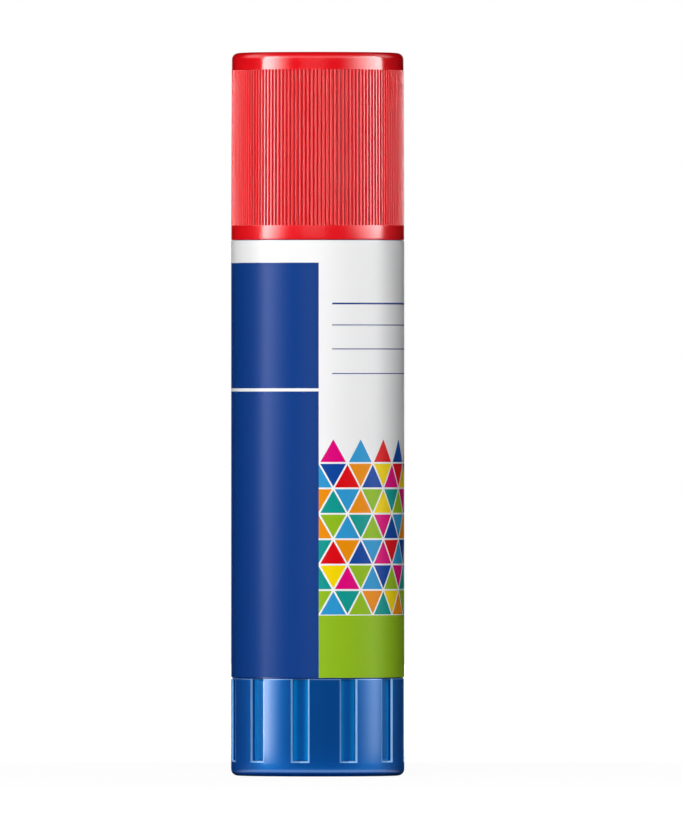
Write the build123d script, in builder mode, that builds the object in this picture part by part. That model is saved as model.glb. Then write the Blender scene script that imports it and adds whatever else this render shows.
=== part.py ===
"""Twist-up glue stick, 40 g size: ribbed cap, labelled barrel, grooved knob and a screw that lifts it.

The origin is the centre of the foot that the stick stands on, +Z runs up the stick, and the label's
front faces -Y. Lengths are in millimetres. The radii grow outwards from the glue and the heights grow
upwards from the foot, so each piece is sized by the one that it goes round or stands on.
"""

from build123d import *
import math
import os

os.makedirs("parts", exist_ok=True)

# Glue: a cylinder of adhesive, cast into its carrier, that slides up the barrel
glue_diameter = 24.2
glue_length = 88.6
glue_gap = 0.3
glue_cover = 4.0
glue_edge_radius = 1.2
glue_groove_gap = 0.3
glue_cast_gap = 0.04
glue_bore_gap = 0.4

# Barrel: a tube with a floor, a neck for the cap and two inner ribs that keep the carrier from turning
neck_wall = 0.9
neck_height = 22.0
neck_rim_radius = 0.3
rim_margin = 1.5
snap_bead_height = 0.1
snap_bead_width = 1.2
snap_bead_rise = 5.0
barrel_floor = 1.6
guide_rib_width = 1.2
guide_rib_height = 0.55
guide_rib_margin = 3.0
guide_rib_bite = 0.4
spigot_height = 2.0
spigot_wall = 1.1

# Label: a printed film wrapped round the barrel, its two ends meeting at the back
label_thickness = 0.12
label_glue_line = 0.05
label_seam_gap = 0.3
label_foot_gap = 0.25
label_top_gap = 0.05

# Cap: a thin ribbed shell that pushes over the neck
cap_fit = 0.15
cap_wall = 0.8
cap_top_wall = 1.4
cap_seat_gap = 0.05
cap_band_height = 2.4
cap_crown_height = 2.9
cap_edge_radius = 1.1
cap_lip_radius = 0.2
cap_lead_in = 0.3
cap_draft_angle = 0.2
cap_snap_depth = 0.12
cap_rib_count = 138
cap_rib_depth = 0.25
cap_rib_crest_share = 0.36
cap_rib_valley_share = 0.24
cap_dish_diameter = 22.0
cap_dish_depth = 0.3

# Cap seal: a soft plug snapped in under the cap's top, whose lip closes the mouth of the neck
seal_headspace = 7.1
seal_disc = 0.9
seal_wall = 0.8
seal_lip_depth = 1.15
seal_fit = 0.12
seal_lead_in = 0.3
seal_rim_gap = 0.02
seal_bead_height = 0.18
seal_bead_width = 0.6

# Knob: a grooved hand wheel under the barrel
knob_height = 16.2
knob_wall = 1.9
knob_floor = 1.6
knob_edge_radius = 1.1
knob_lip_radius = 0.15
knob_recess = 0.5
knob_foot_width = 1.7
groove_count = 11
groove_width = 3.15
groove_depth = 0.9
groove_foot = 2.4
groove_turn_angle = 11.7
hub_wall = 1.6
web_count = 6
web_thickness = 1.0
web_height = 7.0
seam_gap = 0.15
spigot_fit = 0.15

# Spindle: a left-hand screw that turns with the knob
core_diameter = 5.8
core_bore_diameter = 2.6
core_bore_end_wall = 3.0
thread_height = 0.8
thread_lead = 4.5
thread_root_width = 2.0
thread_crest_width = 1.1
thread_bite = 0.3
spindle_tip_chamfer = 0.6
spindle_tip_gap = 0.8
peg_width = 6.4
peg_fit = 0.03
peg_floor_gap = 0.3
flange_thickness = 1.2
flange_width = 1.4
journal_diameter = 7.8
journal_fit = 0.08
thrust_gap = 0.1
collar_height = 1.2
collar_width = 0.65
collar_tip_width = 0.1

# Carrier: the cup that holds the foot of the glue and rides on the screw
carrier_gap = 0.15
carrier_fit = 0.15
carrier_skirt = 2.1
carrier_disc = 1.3
carrier_height = 11.0
carrier_wall = 1.2
carrier_lip_height = 1.0
carrier_waist_depth = 0.2
carrier_key_gap = 0.25
nut_clearance = 0.25
nut_side_clearance = 0.3
nut_wall = 1.3
nut_turns = 1.0
nut_margin = 0.3
fin_count = 4
fin_thickness = 0.9
fin_height = 4.0
fin_turn_angle = 45.0

# One overrun for every cut that has to pass right through a face
overrun = 1.0

# Radii that follow from the glue, outwards
glue_radius = glue_diameter / 2
bore_radius = glue_radius + glue_gap
neck_radius = bore_radius + neck_wall
cap_bore_radius = neck_radius + cap_fit
body_radius = cap_bore_radius + cap_wall + cap_rib_depth
label_bed_radius = body_radius - label_thickness - label_glue_line
knob_inner_radius = body_radius - knob_wall
spigot_radius = knob_inner_radius - spigot_fit
spigot_inner_radius = spigot_radius - spigot_wall

# Radii round the screw
core_radius = core_diameter / 2
crest_radius = core_radius + thread_height
journal_radius = journal_diameter / 2
floor_hole_radius = journal_radius + journal_fit
nut_bore_radius = crest_radius + nut_clearance
nut_radius = nut_bore_radius + nut_wall
hub_radius = peg_width / 2 / math.cos(math.radians(30)) + peg_fit + hub_wall

# Heights, from the foot upwards
knob_floor_top = knob_recess + knob_floor
barrel_bottom = knob_height + seam_gap
flange_top = barrel_bottom - thrust_gap
flange_bottom = flange_top - flange_thickness
floor_top = barrel_bottom + barrel_floor
collar_bottom = floor_top + thrust_gap
collar_top = collar_bottom + collar_height
thread_bottom = collar_top + thread_root_width / 2
carrier_bottom = floor_top + carrier_gap
carrier_top = carrier_bottom + carrier_height
disc_bottom = carrier_bottom + carrier_skirt
glue_bottom = disc_bottom + carrier_disc
glue_top = glue_bottom + glue_length
glue_bore_top = glue_top - glue_cover
spindle_top = glue_bore_top - spindle_tip_gap
rim_top = glue_top + rim_margin
shoulder = rim_top - neck_height
label_bottom = barrel_bottom + label_foot_gap
cap_bottom = shoulder + cap_seat_gap
seal_lip_bottom = rim_top - seal_lip_depth
seal_disc_bottom = rim_top + seal_headspace
cap_ceiling = seal_disc_bottom + seal_disc
cap_top = cap_ceiling + cap_top_wall

# The nut's ridge lies in the screw's groove, half a lead above the start of the screw's own ridge
nut_tip_radius = core_radius + nut_clearance
nut_tip_width = thread_lead - thread_root_width - 2 * nut_side_clearance
nut_root_width = nut_tip_width + thread_root_width - thread_crest_width
nut_ridge_bottom = thread_bottom + thread_lead / 2
nut_top = nut_ridge_bottom + nut_turns * thread_lead + nut_root_width / 2 + nut_margin


def screw_ridge(path_radius, bottom, turns, inner, outer):
    """A left-hand ridge that starts over +X; inner and outer are the (radius, width) of its section."""
    with BuildPart() as ridge:
        with BuildLine() as path:
            Helix(thread_lead, turns * thread_lead, path_radius, center=(0, 0, bottom), lefthand=True)
        start = path.line @ 0
        with BuildSketch(Plane(origin=start, x_dir=(1, 0, 0), z_dir=path.line % 0)):
            with BuildLine():
                Polyline(
                    (inner[0] - path_radius, -inner[1] / 2),
                    (outer[0] - path_radius, -outer[1] / 2),
                    (outer[0] - path_radius, outer[1] / 2),
                    (inner[0] - path_radius, inner[1] / 2),
                    close=True,
                )
            make_face()
        sweep(path=path.line, is_frenet=True)
    return ridge.part


def cap_radius(height):
    """The cap's outer radius, which narrows a little towards its top."""
    return body_radius - (height - cap_bottom) * math.tan(math.radians(cap_draft_angle))


def ribbed_outline(crest_radius_here):
    """The points round the cap's ribs at one height: a flat crest and a flat valley for each rib."""
    valley_radius_here = crest_radius_here - cap_rib_depth
    rib_turns = (
        (-cap_rib_crest_share / 2, crest_radius_here),
        (cap_rib_crest_share / 2, crest_radius_here),
        (0.5 - cap_rib_valley_share / 2, valley_radius_here),
        (0.5 + cap_rib_valley_share / 2, valley_radius_here),
    )
    points = []
    for rib in range(cap_rib_count):
        for turn, radius in rib_turns:
            angle = 2 * math.pi * (rib + turn) / cap_rib_count
            points.append((radius * math.cos(angle), radius * math.sin(angle)))
    return points


# Knob: a cup with finger grooves, a hub for the spindle's foot, and webs between hub and wall
foot_outer_radius = body_radius - knob_edge_radius
foot_inner_radius = foot_outer_radius - knob_foot_width
with BuildPart() as knob:
    with BuildSketch(Plane.XZ):
        with BuildLine():
            Polyline(
                (0, knob_recess),
                (foot_inner_radius - knob_recess, knob_recess),
                (foot_inner_radius, 0),
                (body_radius, 0),
                (body_radius, knob_height),
                (knob_inner_radius, knob_height),
                (knob_inner_radius, knob_floor_top),
                (hub_radius, knob_floor_top),
                (hub_radius, flange_bottom),
                (0, flange_bottom),
                close=True,
            )
        make_face()
    revolve(axis=Axis.Z)
    outer_edges = edges().filter_by(GeomType.CIRCLE).group_by(SortBy.RADIUS)[-1].sort_by(Axis.Z)
    fillet(outer_edges[0], knob_edge_radius)
    outer_edges = edges().filter_by(GeomType.CIRCLE).group_by(SortBy.RADIUS)[-1].sort_by(Axis.Z)
    fillet(outer_edges[-1], knob_lip_radius)
    # Finger grooves, closed at the foot and open at the top
    with BuildSketch(Plane.XY.offset(groove_foot)):
        with PolarLocations(body_radius, groove_count, start_angle=-90 - groove_turn_angle):
            Rectangle(2 * groove_depth, groove_width)
        Circle(body_radius - groove_depth, mode=Mode.SUBTRACT)
    extrude(amount=knob_height - groove_foot + overrun, mode=Mode.SUBTRACT)
    # Webs from the hub to the wall
    with BuildSketch(Plane.XY.offset(knob_floor_top)):
        with PolarLocations((hub_radius + knob_inner_radius) / 2, web_count):
            Rectangle(knob_inner_radius - hub_radius + hub_wall, web_thickness)
    extrude(amount=web_height)
    # Six-sided socket for the spindle's foot
    with BuildSketch(Plane.XY.offset(flange_bottom)):
        RegularPolygon(peg_width / 2 + peg_fit, 6, major_radius=False)
    extrude(amount=knob_floor_top - flange_bottom, mode=Mode.SUBTRACT)
knob.part.label = "knob"

# Spindle: one moulding with a six-sided foot, thrust flange, journal, snap collar and screw
spindle_foot_bottom = knob_floor_top + peg_floor_gap
thread_top = spindle_top - spindle_tip_chamfer - thread_root_width / 2
spindle_ridge = screw_ridge(
    core_radius,
    thread_bottom,
    (thread_top - thread_bottom) / thread_lead,
    (core_radius - thread_bite, thread_root_width + thread_bite),
    (crest_radius, thread_crest_width),
)
with BuildPart() as spindle:
    with BuildSketch(Plane.XY.offset(flange_bottom)):
        RegularPolygon(peg_width / 2, 6, major_radius=False)
    extrude(amount=spindle_foot_bottom - flange_bottom)
    with BuildSketch(Plane.XZ):
        with BuildLine():
            Polyline(
                (0, flange_bottom),
                (journal_radius + flange_width, flange_bottom),
                (journal_radius + flange_width, flange_top),
                (journal_radius, flange_top),
                (journal_radius, collar_bottom),
                (journal_radius + collar_width, collar_bottom),
                (journal_radius + collar_tip_width, collar_top),
                (core_radius, collar_top),
                (core_radius, spindle_top - spindle_tip_chamfer),
                (core_radius - spindle_tip_chamfer, spindle_top),
                (0, spindle_top),
                close=True,
            )
        make_face()
    revolve(axis=Axis.Z)
    add(spindle_ridge)
    with BuildSketch(Plane.XY.offset(spindle_foot_bottom - overrun)):
        Circle(core_bore_diameter / 2)
    extrude(amount=spindle_top - core_bore_end_wall - spindle_foot_bottom + overrun, mode=Mode.SUBTRACT)
spindle.part.label = "spindle"

# Barrel: floor, wall, neck with its snap bead, and the spigot that centres it in the knob
snap_middle = shoulder + snap_bead_rise
with BuildPart() as barrel:
    with BuildSketch(Plane.XZ):
        with BuildLine():
            Polyline(
                (floor_hole_radius, barrel_bottom),
                (spigot_inner_radius, barrel_bottom),
                (spigot_inner_radius, barrel_bottom - spigot_height),
                (spigot_radius, barrel_bottom - spigot_height),
                (spigot_radius, barrel_bottom),
                (label_bed_radius, barrel_bottom),
                (label_bed_radius, shoulder),
                (neck_radius, shoulder),
                (neck_radius, snap_middle - snap_bead_width / 2),
                (neck_radius + snap_bead_height, snap_middle),
                (neck_radius, snap_middle + snap_bead_width / 2),
                (neck_radius, rim_top),
                (bore_radius, rim_top),
                (bore_radius, floor_top),
                (floor_hole_radius, floor_top),
                close=True,
            )
        make_face()
    revolve(axis=Axis.Z)
    fillet(edges().filter_by(GeomType.CIRCLE).group_by(Axis.Z)[-1], neck_rim_radius)
    # Two upright ribs that the carrier's keyways run on
    with BuildSketch(Plane.XY.offset(floor_top)):
        with PolarLocations(bore_radius + (guide_rib_bite - guide_rib_height) / 2, 2):
            Rectangle(guide_rib_height + guide_rib_bite, guide_rib_width)
    extrude(amount=rim_top - guide_rib_margin - floor_top)
barrel.part.label = "barrel"

# Label: one turn of film with a narrow slit where its ends meet at the back
with BuildPart() as label:
    with BuildSketch(Plane.XY.offset(label_bottom)):
        Circle(body_radius)
        Circle(body_radius - label_thickness, mode=Mode.SUBTRACT)
        with Locations((0, body_radius)):
            Rectangle(label_seam_gap, body_radius, mode=Mode.SUBTRACT)
    extrude(amount=shoulder - label_top_gap - label_bottom)
label.part.label = "label"

# Carrier: a cup with wiping lips, the nut in its middle, fins for the glue and keyways for the ribs
lip_radius = bore_radius - carrier_fit
waist_radius = lip_radius - carrier_waist_depth
cup_radius = lip_radius - carrier_wall
nut_ridge = screw_ridge(
    nut_bore_radius,
    nut_ridge_bottom,
    nut_turns,
    (nut_tip_radius, nut_tip_width),
    (nut_bore_radius + thread_bite, nut_root_width + thread_bite),
)
with BuildPart() as carrier:
    with BuildSketch(Plane.XZ):
        with BuildLine():
            Polyline(
                (nut_bore_radius, disc_bottom),
                (cup_radius, disc_bottom),
                (cup_radius, carrier_bottom),
                (lip_radius, carrier_bottom),
                (lip_radius, carrier_bottom + carrier_lip_height),
                (waist_radius, carrier_bottom + carrier_lip_height + carrier_waist_depth),
                (waist_radius, carrier_top - carrier_lip_height - carrier_waist_depth),
                (lip_radius, carrier_top - carrier_lip_height),
                (lip_radius, carrier_top),
                (cup_radius, carrier_top),
                (cup_radius, glue_bottom),
                (nut_radius, glue_bottom),
                (nut_radius, nut_top),
                (nut_bore_radius, nut_top),
                close=True,
            )
        make_face()
    revolve(axis=Axis.Z)
    with BuildSketch(Plane.XY.offset(glue_bottom)):
        with PolarLocations((nut_radius + cup_radius) / 2, fin_count, start_angle=fin_turn_angle):
            Rectangle(cup_radius - nut_radius + nut_wall, fin_thickness)
    extrude(amount=fin_height)
    add(nut_ridge)
    with BuildSketch(Plane.XY.offset(carrier_bottom - overrun)):
        with PolarLocations(bore_radius, 2):
            Rectangle(2 * (guide_rib_height + carrier_key_gap), guide_rib_width + 2 * carrier_key_gap)
    extrude(amount=carrier_height + 2 * overrun, mode=Mode.SUBTRACT)
carrier.part.label = "carrier"

# Glue: cast round the nut and the fins, bored for the screw and grooved for the barrel's ribs
with BuildPart() as glue:
    with BuildSketch(Plane.XZ):
        with BuildLine():
            Polyline(
                (nut_radius + glue_cast_gap, glue_bottom),
                (cup_radius - glue_cast_gap, glue_bottom),
                (cup_radius - glue_cast_gap, carrier_top + glue_cast_gap),
                (glue_radius, carrier_top + glue_cast_gap),
                (glue_radius, glue_top),
                (0, glue_top),
                (0, glue_bore_top),
                (crest_radius + glue_bore_gap, glue_bore_top),
                (crest_radius + glue_bore_gap, nut_top + glue_cast_gap),
                (nut_radius + glue_cast_gap, nut_top + glue_cast_gap),
                close=True,
            )
        make_face()
    revolve(axis=Axis.Z)
    fillet(edges().filter_by(GeomType.CIRCLE).group_by(Axis.Z)[-1], glue_edge_radius)
    with BuildSketch(Plane.XY.offset(glue_bottom)):
        with PolarLocations((nut_radius + cup_radius) / 2, fin_count, start_angle=fin_turn_angle):
            Rectangle(cup_radius - nut_radius + nut_wall, fin_thickness + 2 * glue_cast_gap)
        Circle(nut_radius, mode=Mode.SUBTRACT)
    extrude(amount=fin_height + glue_cast_gap, mode=Mode.SUBTRACT)
    with BuildSketch(Plane.XY.offset(carrier_top)):
        with PolarLocations(bore_radius, 2):
            Rectangle(2 * (guide_rib_height + glue_groove_gap), guide_rib_width + 2 * glue_groove_gap)
    extrude(amount=glue_length, mode=Mode.SUBTRACT)
glue.part.label = "glue"

# Cap shell: plain band, ribbed wall and crown outside, one stepped bore inside
rib_bottom = cap_bottom + cap_band_height
rib_top = cap_top - cap_crown_height
seal_bead_top = seal_disc_bottom - seal_rim_gap
with BuildPart() as cap_shell:
    for rib_end in (rib_bottom, rib_top):
        with BuildSketch(Plane.XY.offset(rib_end)):
            with BuildLine():
                Polyline(*ribbed_outline(cap_radius(rib_end)), close=True)
            make_face()
    loft(ruled=True)
    with BuildSketch(Plane.XZ):
        with BuildLine():
            Polyline(
                (0, cap_bottom),
                (cap_radius(cap_bottom), cap_bottom),
                (cap_radius(rib_bottom), rib_bottom),
                (0, rib_bottom),
                close=True,
            )
        make_face()
        with BuildLine():
            Polyline(
                (0, rib_top),
                (cap_radius(rib_top), rib_top),
                (cap_radius(cap_top), cap_top),
                (cap_dish_diameter / 2, cap_top),
                (cap_dish_diameter / 2 - cap_dish_depth, cap_top - cap_dish_depth),
                (0, cap_top - cap_dish_depth),
                close=True,
            )
        make_face()
    revolve(axis=Axis.Z)
    crown_edges = edges().filter_by(GeomType.CIRCLE).group_by(Axis.Z)[-1]
    fillet(crown_edges.sort_by(SortBy.RADIUS)[-1], cap_edge_radius)
    fillet(edges().filter_by(GeomType.CIRCLE).group_by(Axis.Z)[0], cap_lip_radius)
    with BuildSketch(Plane.XZ):
        with BuildLine():
            Polyline(
                (0, cap_bottom - overrun),
                (cap_bore_radius + cap_lead_in, cap_bottom - overrun),
                (cap_bore_radius + cap_lead_in, cap_bottom),
                (cap_bore_radius, cap_bottom + cap_lead_in),
                (cap_bore_radius, snap_middle - snap_bead_width),
                (cap_bore_radius + cap_snap_depth, snap_middle),
                (cap_bore_radius, snap_middle + snap_bead_width),
                (cap_bore_radius, seal_bead_top - seal_bead_width),
                (cap_bore_radius - seal_bead_height, seal_bead_top - seal_bead_width / 2),
                (cap_bore_radius, seal_bead_top),
                (cap_bore_radius, cap_ceiling),
                (0, cap_ceiling),
                close=True,
            )
        make_face()
    revolve(axis=Axis.Z, mode=Mode.SUBTRACT)
cap_shell.part.label = "cap_shell"

# Cap seal: a disc against the ceiling and a round lip that plugs the neck
seal_outer_radius = bore_radius - seal_fit
seal_inner_radius = seal_outer_radius - seal_wall
with BuildPart() as cap_seal:
    with BuildSketch(Plane.XZ):
        with BuildLine():
            Polyline(
                (0, seal_disc_bottom),
                (seal_inner_radius, seal_disc_bottom),
                (seal_inner_radius, seal_lip_bottom),
                (seal_outer_radius - seal_lead_in, seal_lip_bottom),
                (seal_outer_radius, seal_lip_bottom + seal_lead_in),
                (seal_outer_radius, seal_disc_bottom),
                (cap_bore_radius - seal_rim_gap, seal_disc_bottom),
                (cap_bore_radius - seal_rim_gap, cap_ceiling),
                (0, cap_ceiling),
                close=True,
            )
        make_face()
    revolve(axis=Axis.Z)
cap_seal.part.label = "cap_seal"

export_step(knob.part, "parts/knob.step")
export_step(spindle.part, "parts/spindle.step")
export_step(barrel.part, "parts/barrel.step")
export_step(label.part, "parts/label.step")
export_step(carrier.part, "parts/carrier.step")
export_step(glue.part, "parts/glue.step")
export_step(cap_shell.part, "parts/cap_shell.step")
export_step(cap_seal.part, "parts/cap_seal.step")
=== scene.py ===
"""The twist-up glue stick's looks: moulded knob, printed label, neck, glue and ribbed cap."""

import math

import bpy
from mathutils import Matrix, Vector


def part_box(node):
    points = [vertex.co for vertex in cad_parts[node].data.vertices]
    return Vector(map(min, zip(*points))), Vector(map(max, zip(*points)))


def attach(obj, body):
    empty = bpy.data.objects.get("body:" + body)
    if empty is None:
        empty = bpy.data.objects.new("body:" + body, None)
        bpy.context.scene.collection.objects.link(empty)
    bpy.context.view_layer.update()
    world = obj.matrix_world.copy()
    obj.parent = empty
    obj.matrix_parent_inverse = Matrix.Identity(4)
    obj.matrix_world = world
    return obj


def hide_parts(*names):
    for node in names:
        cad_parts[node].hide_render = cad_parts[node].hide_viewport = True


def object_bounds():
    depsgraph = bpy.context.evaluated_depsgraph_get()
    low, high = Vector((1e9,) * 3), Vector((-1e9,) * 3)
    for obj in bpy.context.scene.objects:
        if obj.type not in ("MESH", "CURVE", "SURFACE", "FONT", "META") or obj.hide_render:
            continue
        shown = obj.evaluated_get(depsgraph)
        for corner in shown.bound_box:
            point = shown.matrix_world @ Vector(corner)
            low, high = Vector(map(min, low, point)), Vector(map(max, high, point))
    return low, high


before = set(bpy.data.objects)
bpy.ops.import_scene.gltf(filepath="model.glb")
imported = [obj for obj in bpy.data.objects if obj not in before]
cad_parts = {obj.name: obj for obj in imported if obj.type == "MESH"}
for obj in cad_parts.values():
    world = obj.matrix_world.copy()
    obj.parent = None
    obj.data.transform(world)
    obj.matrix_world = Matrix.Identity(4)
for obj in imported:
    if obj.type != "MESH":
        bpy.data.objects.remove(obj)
cad_low, cad_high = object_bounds()

# Knob: the blue hand wheel at the foot, one thin-walled moulding in clear-tinted polypropylene with
# eleven finger grooves. A hub in its middle is pressed on the screw's six-sided foot, and six webs
# join the hub to the wall.
MM = 0.001
MERGE = 0.002 * MM
ARC_STEPS = 5
CUT_OVERRUN = 1.0 * MM
BODY_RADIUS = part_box("knob")[1].x
SEAM_CLOSING = 0.1 * MM
KNOB_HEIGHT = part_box("knob")[1].z + SEAM_CLOSING
KNOB_WALL = 1.9 * MM
KNOB_FLOOR = 1.6 * MM
KNOB_RECESS = 0.5 * MM
KNOB_EDGE = 1.1 * MM
KNOB_FOOT_WIDTH = 1.7 * MM
KNOB_LIP = 0.2 * MM
KNOB_SEGMENTS = 264
KNOB_SHARP_ANGLE = 32
INNER_ROUNDING = 0.3 * MM
HUB_TOP = 15.05 * MM
HUB_RADIUS = 5.33 * MM
SOCKET_SIDES = 6
SOCKET_WIDTH = 6.46 * MM
WEB_COUNT = 6
WEB_THICKNESS = 1.0 * MM
WEB_HEIGHT = 7.0 * MM
WEB_BITE = KNOB_WALL / 4
GROOVE_COUNT = 11
GROOVE_TURN = 11.7
GROOVE_WIDTH = 2.55 * MM
GROOVE_DEPTH = 0.9 * MM
GROOVE_FOOT = 2.6 * MM
GROOVE_EDGE = 0.3 * MM
GROOVE_CORNER = 0.15 * MM
GROOVE_FACES = 8
GROOVE_FLARE = 85


def rounded(corners):
    """An outline of (radius, height) points, from corners that each give their own rounding too."""
    outline = []
    for place, (radius, height, rounding) in enumerate(corners):
        here = Vector((radius, height))
        if not rounding:
            outline.append(here)
            continue
        back = (Vector(corners[place - 1][:2]) - here).normalized()
        ahead = (Vector(corners[(place + 1) % len(corners)][:2]) - here).normalized()
        half = back.angle(ahead) / 2
        centre = here + (back + ahead).normalized() * rounding / math.sin(half)
        start = here + back * rounding / math.tan(half) - centre
        end = here + ahead * rounding / math.tan(half) - centre
        sweep = math.pi - 2 * half
        for step in range(ARC_STEPS + 1):
            share = step / ARC_STEPS
            spoke = start * math.sin((1 - share) * sweep) + end * math.sin(share * sweep)
            outline.append(centre + spoke / math.sin(sweep))
    return outline


def turned(name, outline, segments, foot="NOTHING"):
    """A lathe shape: a ring at the outline's first point, extruded and resized to each next one."""
    bpy.ops.object.select_all(action="DESELECT")
    radius, height = outline[0]
    bpy.ops.mesh.primitive_circle_add(
        vertices=segments, radius=radius, fill_type=foot, location=(0, 0, height)
    )
    piece = bpy.context.object
    piece.name = name
    bpy.ops.object.transform_apply(location=True, rotation=False, scale=False)
    bpy.ops.object.mode_set(mode="EDIT")
    bpy.ops.mesh.select_mode(type="VERT")
    bpy.ops.mesh.select_all(action="DESELECT")
    bpy.ops.object.mode_set(mode="OBJECT")
    for vertex in piece.data.vertices:
        vertex.select = vertex.co.xy.length > radius / 2
    bpy.ops.object.mode_set(mode="EDIT")
    bpy.ops.mesh.select_mode(type="EDGE")
    for before, after in zip(outline, outline[1:]):
        wider = after[0] / before[0]
        bpy.ops.mesh.extrude_edges_move(TRANSFORM_OT_translate={"value": (0, 0, after[1] - before[1])})
        bpy.ops.transform.resize(value=(wider, wider, 1), center_override=(0, 0, 0))
    bpy.ops.mesh.select_all(action="SELECT")
    bpy.ops.mesh.remove_doubles(threshold=MERGE)
    bpy.ops.mesh.normals_make_consistent(inside=False)
    bpy.ops.object.mode_set(mode="OBJECT")
    return piece


def copied_round(piece, count):
    """Copies the mesh of a piece round the Z axis, within the piece."""
    bpy.ops.object.select_all(action="DESELECT")
    bpy.context.view_layer.objects.active = piece
    piece.select_set(True)
    bpy.ops.object.mode_set(mode="EDIT")
    bpy.ops.mesh.select_all(action="SELECT")
    bpy.ops.mesh.spin(
        steps=count, dupli=True, angle=2 * math.pi, center=(0, 0, 0), axis=(0, 0, 1)
    )
    bpy.ops.mesh.select_all(action="SELECT")
    bpy.ops.mesh.remove_doubles(threshold=MERGE)
    bpy.ops.object.mode_set(mode="OBJECT")


def bars(inner, outer, width, low, high, count, turn=0):
    """Bars that run from one radius out to another, spaced evenly round the Z axis, as one piece."""
    bpy.ops.object.select_all(action="DESELECT")
    bpy.ops.mesh.primitive_cube_add(
        size=1,
        location=((inner + outer) / 2, 0, (low + high) / 2),
        scale=(outer - inner, width, high - low),
    )
    piece = bpy.context.object
    bpy.ops.object.transform_apply(location=True, rotation=False, scale=True)
    bpy.ops.object.mode_set(mode="EDIT")
    bpy.ops.mesh.select_all(action="SELECT")
    bpy.ops.transform.rotate(value=math.radians(turn), orient_axis="Z", center_override=(0, 0, 0))
    bpy.ops.object.mode_set(mode="OBJECT")
    copied_round(piece, count)
    return piece


def boolean(piece, tool, operation):
    """Cuts the tool out of the piece, or joins it on, and removes the tool."""
    joint = piece.modifiers.new(operation.lower(), "BOOLEAN")
    joint.operation = operation
    joint.solver = "EXACT"
    joint.object = tool
    bpy.ops.object.select_all(action="DESELECT")
    bpy.context.view_layer.objects.active = piece
    piece.select_set(True)
    bpy.ops.object.modifier_apply(modifier=joint.name)
    bpy.data.objects.remove(tool)


def smoothed(piece, sharp_angle):
    """Smooth shading that leaves out edges sharper than the angle, and keeps large flat faces flat."""
    bpy.ops.object.select_all(action="DESELECT")
    bpy.context.view_layer.objects.active = piece
    piece.select_set(True)
    bpy.ops.object.shade_smooth_by_angle(angle=math.radians(sharp_angle))
    weighting = piece.modifiers.new("weighting", "WEIGHTED_NORMAL")
    weighting.keep_sharp = True
    bpy.ops.object.modifier_apply(modifier=weighting.name)


foot_outer = BODY_RADIUS - KNOB_EDGE
foot_inner = foot_outer - KNOB_FOOT_WIDTH
mouth_radius = BODY_RADIUS - KNOB_WALL
floor_top = KNOB_RECESS + KNOB_FLOOR
knob = turned(
    "knob_moulding",
    rounded(
        [
            (foot_inner - KNOB_RECESS, KNOB_RECESS, 0),
            (foot_inner, 0, INNER_ROUNDING / 2),
            (BODY_RADIUS, 0, KNOB_EDGE),
            (BODY_RADIUS, GROOVE_FOOT - GROOVE_EDGE - GROOVE_CORNER, 0),
            (BODY_RADIUS, KNOB_HEIGHT, KNOB_LIP),
            (mouth_radius, KNOB_HEIGHT, KNOB_LIP / 2),
            (mouth_radius, floor_top, INNER_ROUNDING),
            (HUB_RADIUS, floor_top, INNER_ROUNDING),
            (HUB_RADIUS, HUB_TOP, KNOB_LIP / 2),
            (0, HUB_TOP, 0),
        ]
    ),
    KNOB_SEGMENTS,
    foot="TRIFAN",
)

# The webs run a little way into the hub, the wall and the floor that they join
webs = bars(
    inner=HUB_RADIUS - WEB_BITE,
    outer=mouth_radius + WEB_BITE,
    width=WEB_THICKNESS,
    low=floor_top - KNOB_FLOOR / 2,
    high=floor_top + WEB_HEIGHT,
    count=WEB_COUNT,
)
boolean(knob, webs, "UNION")

# The six-sided socket that the screw's foot is pressed into
bpy.ops.object.select_all(action="DESELECT")
bpy.ops.mesh.primitive_cylinder_add(
    vertices=SOCKET_SIDES,
    radius=SOCKET_WIDTH / 2 / math.cos(math.pi / SOCKET_SIDES),
    depth=HUB_TOP + CUT_OVERRUN - floor_top,
    location=(0, 0, (HUB_TOP + CUT_OVERRUN + floor_top) / 2),
    rotation=(0, 0, math.pi / SOCKET_SIDES),
)
socket = bpy.context.object
bpy.ops.object.transform_apply(location=True, rotation=True, scale=True)
boolean(knob, socket, "DIFFERENCE")

# The groove's cutter starts as its floor, and grows outwards to a mouth that flares in a round lip
groove_height = KNOB_HEIGHT + CUT_OVERRUN - GROOVE_FOOT
groove_middle = GROOVE_FOOT + groove_height / 2
floor_radius = BODY_RADIUS - GROOVE_DEPTH
bpy.ops.object.select_all(action="DESELECT")
bpy.ops.mesh.primitive_grid_add(
    x_subdivisions=GROOVE_FACES, y_subdivisions=1, size=1, rotation=(math.pi / 2, 0, 0)
)
groove = bpy.context.object
bpy.ops.object.transform_apply(location=True, rotation=True, scale=True)
for vertex in groove.data.vertices:
    across = vertex.co.x * (GROOVE_WIDTH - 2 * GROOVE_CORNER)
    upwards = vertex.co.z * (groove_height - 2 * GROOVE_CORNER)
    vertex.co = (across, -math.sqrt(floor_radius**2 - across**2), groove_middle + upwards)
growth = [(0, -GROOVE_CORNER), (GROOVE_CORNER, 0), (GROOVE_DEPTH - GROOVE_EDGE, 0)]
for step in range(1, ARC_STEPS + 1):
    turn = math.radians(GROOVE_FLARE) * step / ARC_STEPS
    growth.append(
        (GROOVE_DEPTH - GROOVE_EDGE * (1 - math.sin(turn)), GROOVE_EDGE * (1 - math.cos(turn)))
    )
growth.append((GROOVE_DEPTH + CUT_OVERRUN, growth[-1][1]))
bpy.ops.object.mode_set(mode="EDIT")
bpy.ops.mesh.select_all(action="SELECT")
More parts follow.
